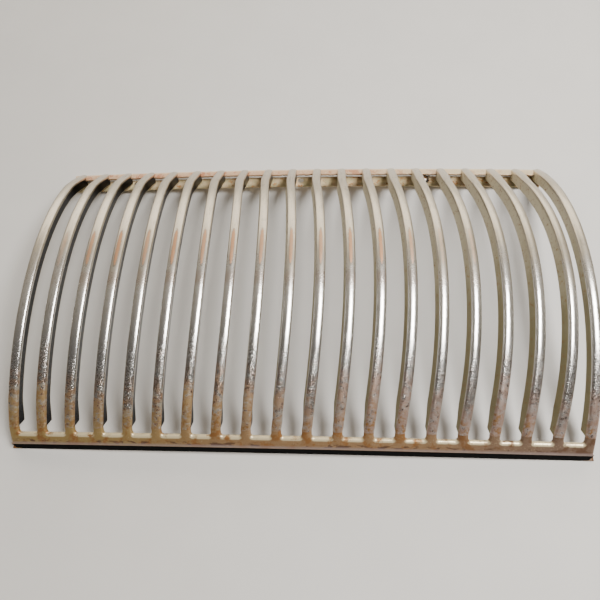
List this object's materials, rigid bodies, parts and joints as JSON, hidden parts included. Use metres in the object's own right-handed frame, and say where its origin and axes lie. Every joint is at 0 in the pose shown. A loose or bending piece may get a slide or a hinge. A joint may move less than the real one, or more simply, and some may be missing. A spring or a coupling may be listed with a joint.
{
  "type": "front grille",
  "caption": "Vintage car front grille of arched vertical bars with a rounded face, set between a bottom rail and a header with a mounting strip behind it, in worn and rusted plating",
  "frame": {"origin": "centre of the underside of the grille as it lies on its back", "axes": "+X runs across the width to the right of the front, +Y from the bottom rail to the header, +Z out of the front face"},
  "size_m": [0.4252, 0.247, 0.0592],
  "materials": {
    "bar_plating": "worn chrome over brass-coloured base, pitted and rust-stained",
    "rail_plating": "worn chrome, heavily rust-stained",
    "header_plating": "worn chrome with orange rust",
    "strip_steel": "olive drab with rust spots",
    "screw_steel": "bright zinc, lightly tarnished",
    "washer_steel": "dark rusted",
    "nut_steel": "dark zinc"
  },
  "bodies": {
    "root": {"bar_01": "bar_plating", "bar_02": "bar_plating", "bar_03": "bar_plating", "bar_04": "bar_plating", "bar_05": "bar_plating", "bar_06": "bar_plating", "bar_07": "bar_plating", "bar_08": "bar_plating", "bar_09": "bar_plating", "bar_10": "bar_plating", "bar_11": "bar_plating", "bar_12": "bar_plating", "bar_13": "bar_plating", "bar_14": "bar_plating", "bar_15": "bar_plating", "bar_16": "bar_plating", "bar_17": "bar_plating", "bar_18": "bar_plating", "bar_19": "bar_plating", "bar_20": "bar_plating", "bottom_rail": "rail_plating", "header": "header_plating", "mounting_strip": "strip_steel", "mounting_screw": "screw_steel", "lock_washer": "washer_steel", "spring_nut": "nut_steel"}
  },
  "joints": []
}
